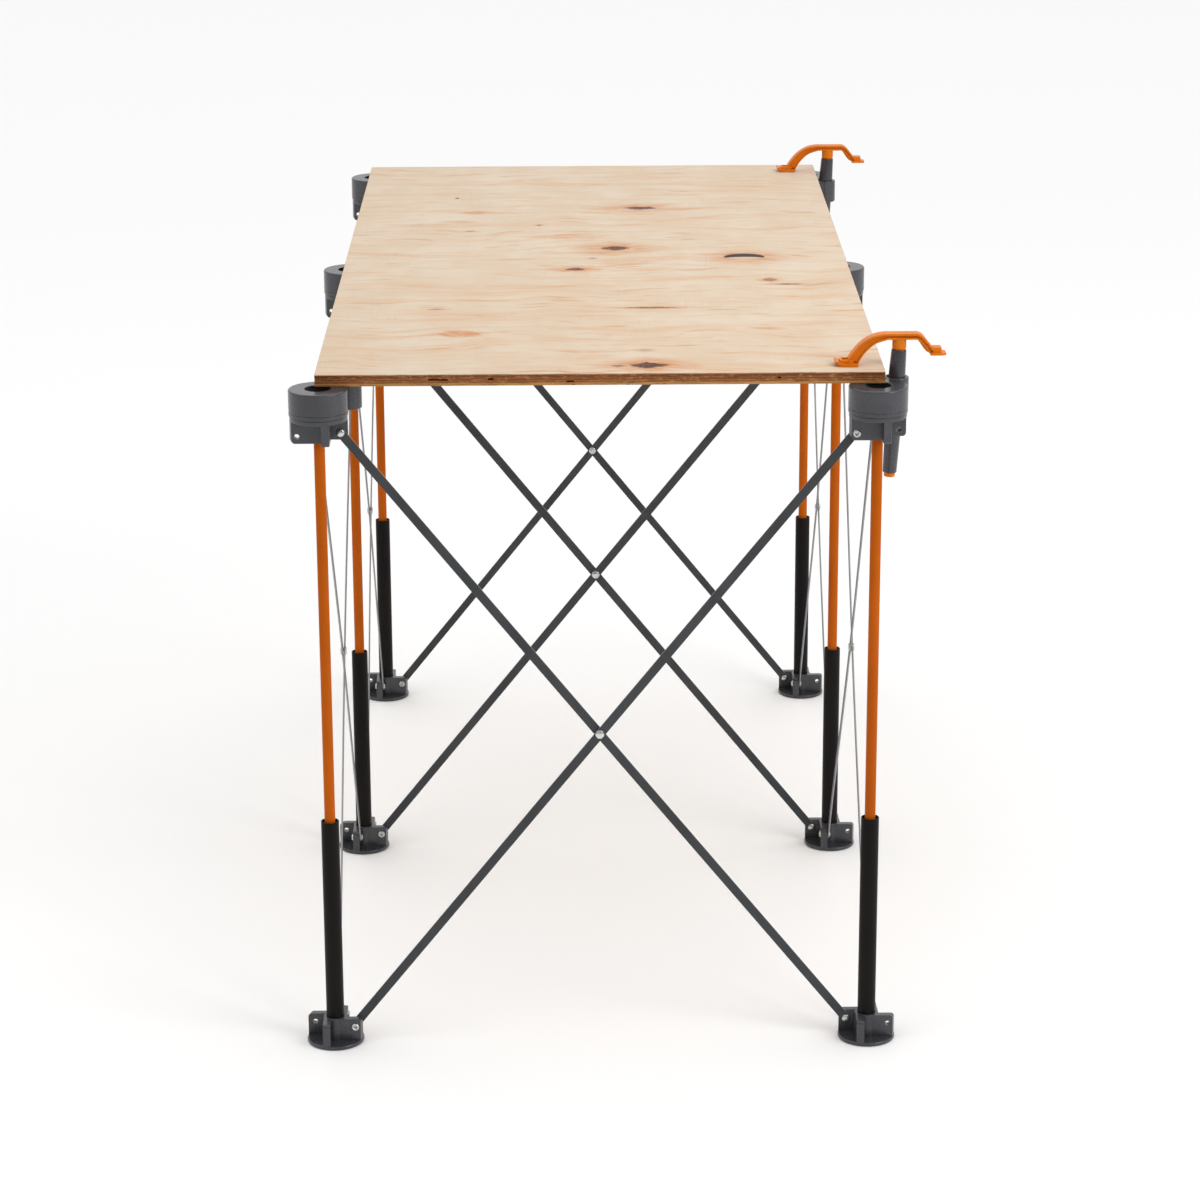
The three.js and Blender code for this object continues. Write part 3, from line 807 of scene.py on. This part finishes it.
def clamp_arm_shape():
    """The arched arm, with its swivel axis at x = 0 and the cap top at z = 0: two rails joined by a web."""
    pad = (PANEL_HIGH.z - CAP_TOP) / MM + 0.3
    short = 24.7
    upper_line = smooth_path([(-57, pad + 3), (-52.3, 25.5), (-41.3, 38.0), (-28, 46.0), (-16, 48.4)]) + \
        smooth_path([(19, 48.4), (25.5, 45.0), (38, 29.2)], 5)
    lower_line = smooth_path([(-46, pad), (-38, 26.3), (-27, 36.6), (-12.8, 41.7)]) + \
        smooth_path([(18.5, 41.7), (23.5, 38.3), (34, 26.0)], 5)
    web = extruded(upper_line + lower_line[::-1] + [(-56, pad)], -4.4, 4.4, 0.5, 1)
    top_rail = extruded(upper_line + [(x * 0.98, z - 2.3) for x, z in reversed(upper_line)], -7, 7, 0.8, 2)
    low_rail = extruded([(x, z + 2.0) for x, z in lower_line] + list(reversed(lower_line)), -7, 7, 0.7, 2)
    long_pad = tapered_pad(
        rounded([(-45, pad), (-44, pad + 3), (-62, pad + 3), (-69, pad + 6), (-70.4, pad + 4.6),
                 (-63.5, pad)], (1.0, 1.0, 2.5, 0.5, 0.5, 3.0)), 12, -58, -72, 0.30)
    short_pad = tapered_pad(
        rounded([(33, short), (50.4, short), (50.4, short + 2.2), (36, short + 3), (33, short + 2)],
                (0.6, 0.6, 0.5)), 9.6, 44, 51.5, 0.45)
    long_block = block(-64, -50, -7, 7, pad + 1, pad + 6.6, 1.0)
    long_recess = block(-61.8, -55, -4.8, 4.8, pad + 4.4, pad + 9, 0.4)
    short_block = block(35.5, 45.3, -6.5, 6.5, short + 1, short + 8.3, 1.0)
    gusset = extruded([(18, 42.5), (36, 27), (37.5, 25.5), (36, 24.8), (29.5, 28.0), (26.2, 31.5), (21.5, 38.5)],
                      -4, 4, 0.5, 1)
    neck = turned(rounded([(0, 31.2), (NECK, 31.2), (NECK, 43), (0, 43)], (0.5, 0)), 48)
    grip = rod(NECK_GRIP, 28, 35.4, 48)
    return combined(web, [top_rail, low_rail, long_pad, long_block, short_pad, short_block, gusset, neck],
                    [grip, long_recess])


barrel, shaft, clamp_arm = barrel_shape(), shaft_shape(), clamp_arm_shape()
for half in HALVES:
    axis = leg_axis(half, "right")
    angle = math.radians(EAR_ANGLES[f"{half}_right"])
    ear = axis + Vector((math.cos(angle), math.sin(angle), 0)) * EAR_REACH * MM
    ear.z = CAP_TOP - CAP_HEIGHT / 2 * MM
    leaning = Matrix.Translation(ear) @ Matrix.Rotation(LEAN, 4, "Y")
    low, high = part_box(f"clamp_arm_{half}")
    swivel = Vector((low.x + LONG_REACH * MM, (low.y + high.y) / 2, CAP_TOP))
    piece(f"clamp_barrel_{half}_tube", moved(barrel, leaning), GREY_PLASTIC, f"clamp_barrel_{half}",
          [f"clamp_barrel_{half}"], weighted=False)
    piece(f"clamp_shaft_{half}_rod", moved(shaft, leaning), ORANGE_PLASTIC, f"clamp_shaft_{half}",
          [f"clamp_shaft_{half}"], weighted=False)
    piece(f"clamp_arm_{half}_casting", moved(clamp_arm, Matrix.Translation(swivel)), ORANGE_PLASTIC,
          f"clamp_arm_{half}", [f"clamp_arm_{half}"])


# ---- panel ----------------------------------------------------------------------------------------------
def panel_shape():
    """The plywood sheet, with a fine groove at each glue line and a few gaps in its core plies.

    The first material goes on the two large faces and the second on the edges.
    """
    low, high = PANEL_LOW / MM, PANEL_HIGH / MM
    bm = block(low.x, high.x, low.y, high.y, low.z, high.z, 0.4)
    thick = high.z - low.z
    for share in (0.22, 0.44, 0.64, 0.86):
        for offset, inset in ((-0.25, 0), (0, 0.18), (0.25, 0)):
            plane = Vector((0, 0, (low.z + share * thick + offset) * MM))
            cut = sliced(bm, plane, (0, 0, 1))
            if inset:
                for vert in [g for g in cut if isinstance(g, bmesh.types.BMVert)]:
                    centre = (PANEL_LOW + PANEL_HIGH) / 2
                    vert.co.x -= math.copysign(inset * MM, vert.co.x - centre.x)
                    vert.co.y -= math.copysign(inset * MM, vert.co.y - centre.y)
    middle = (low + high) / 2
    gaps = []
    for along, length, share in ((-184, 21, 0.52), (-120, 6, 0.56), (-36, 8, 0.33), (190, 4, 0.55)):
        z = low.z + share * thick
        gaps.append(block(middle.x + along, middle.x + along + length, low.y - 2, low.y + 7, z - 1.0, z + 1.0))
    for along, length, share in ((-310, 14, 0.54), (95, 9, 0.33), (402, 17, 0.76)):
        z = low.z + share * thick
        for edge_x in (low.x, high.x):
            gaps.append(block(edge_x - 6, edge_x + 6, middle.y + along, middle.y + along + length, z - 1, z + 1))
    result = combined(bm, [], gaps)
    result.normal_update()
    for face in result.faces:
        face.material_index = 0 if abs(face.normal.z) > 0.9 and face.calc_area() > 0.1 else 1
    return result


piece("worktop_panel_sheet", panel_shape(), [veneer(), ply_edge()], "panel", ["worktop_panel"],
      weighted=False)


# ---- camera, lights and floor ---------------------------------------------------------------------------
def camera():
    data = bpy.data.cameras.new("camera")
    data.sensor_width = 36
    data.lens = 108.1
    data.clip_end = 100
    made = bpy.data.objects.new("camera", data)
    corner = leg_axis("front", "left")
    stand_off = Vector((0.2728, -3.7452, 1.6975))
    pitch, yaw, roll = 0.3049, 0.0075, -0.0044
    made.matrix_world = (
        Matrix.Translation(corner + stand_off)
        @ Matrix.Rotation(-yaw, 4, "Z")
        @ Matrix.Rotation(math.pi / 2 - pitch, 4, "X")
        @ Matrix.Rotation(roll, 4, "Z")
    )
    bpy.context.scene.collection.objects.link(made)
    bpy.context.scene.camera = made


def soft_light(name, place, target, size, power):
    data = bpy.data.lights.new(name, "AREA")
    data.shape = "RECTANGLE"
    data.size, data.size_y = size
    data.energy = power
    made = bpy.data.objects.new(name, data)
    made.location = place
    made.rotation_euler = (Vector(target) - Vector(place)).to_track_quat("-Z", "Y").to_euler()
    bpy.context.scene.collection.objects.link(made)


def studio():
    """A white cove: bright overhead and behind the stand, dimmer towards the viewer."""
    world = bpy.data.worlds.new("studio")
    sky = Graph(world)
    place = sky.node("ShaderNodeTexCoord", {}, (), "Generated")
    glow = sky.node("ShaderNodeVectorMath", {"operation": "DOT_PRODUCT"}, (place, (0.0, 0.38, 0.92)), "Value")
    span = {"From Min": -0.15, "From Max": 0.75, "To Min": 0.12, "To Max": 1.25}
    fade = sky.node("ShaderNodeMapRange", {}, {"Value": glow, **span})
    background = sky.tree.nodes["Background"]
    background.inputs["Color"].default_value = (1, 1, 1, 1)
    sky.tree.links.new(fade.socket, background.inputs["Strength"])
    bpy.context.scene.world = world
    soft_light("key", (2.9, -2.3, 2.6), (0, 0, 0.5), (1.4, 2.0), 55)
    soft_light("fill", (-3.0, -1.6, 2.6), (0, 0, 0.5), (1.6, 2.2), 12)
    bpy.context.scene.view_settings.view_transform = "Standard"
    bm = bmesh.new()
    bmesh.ops.create_grid(bm, x_segments=1, y_segments=1, size=60)
    mesh = bpy.data.meshes.new("floor")
    bm.to_mesh(mesh)
    bm.free()
    floor = bpy.data.objects.new("floor", mesh)
    floor.location.z = -0.5 * MM  # just clear of the feet
    pale = Finish("floor", roughness=0.9, base_color=(0.92, 0.92, 0.92, 1))
    mesh.materials.append(pale.material)
    bpy.context.scene.collection.objects.link(floor)


camera()
studio()
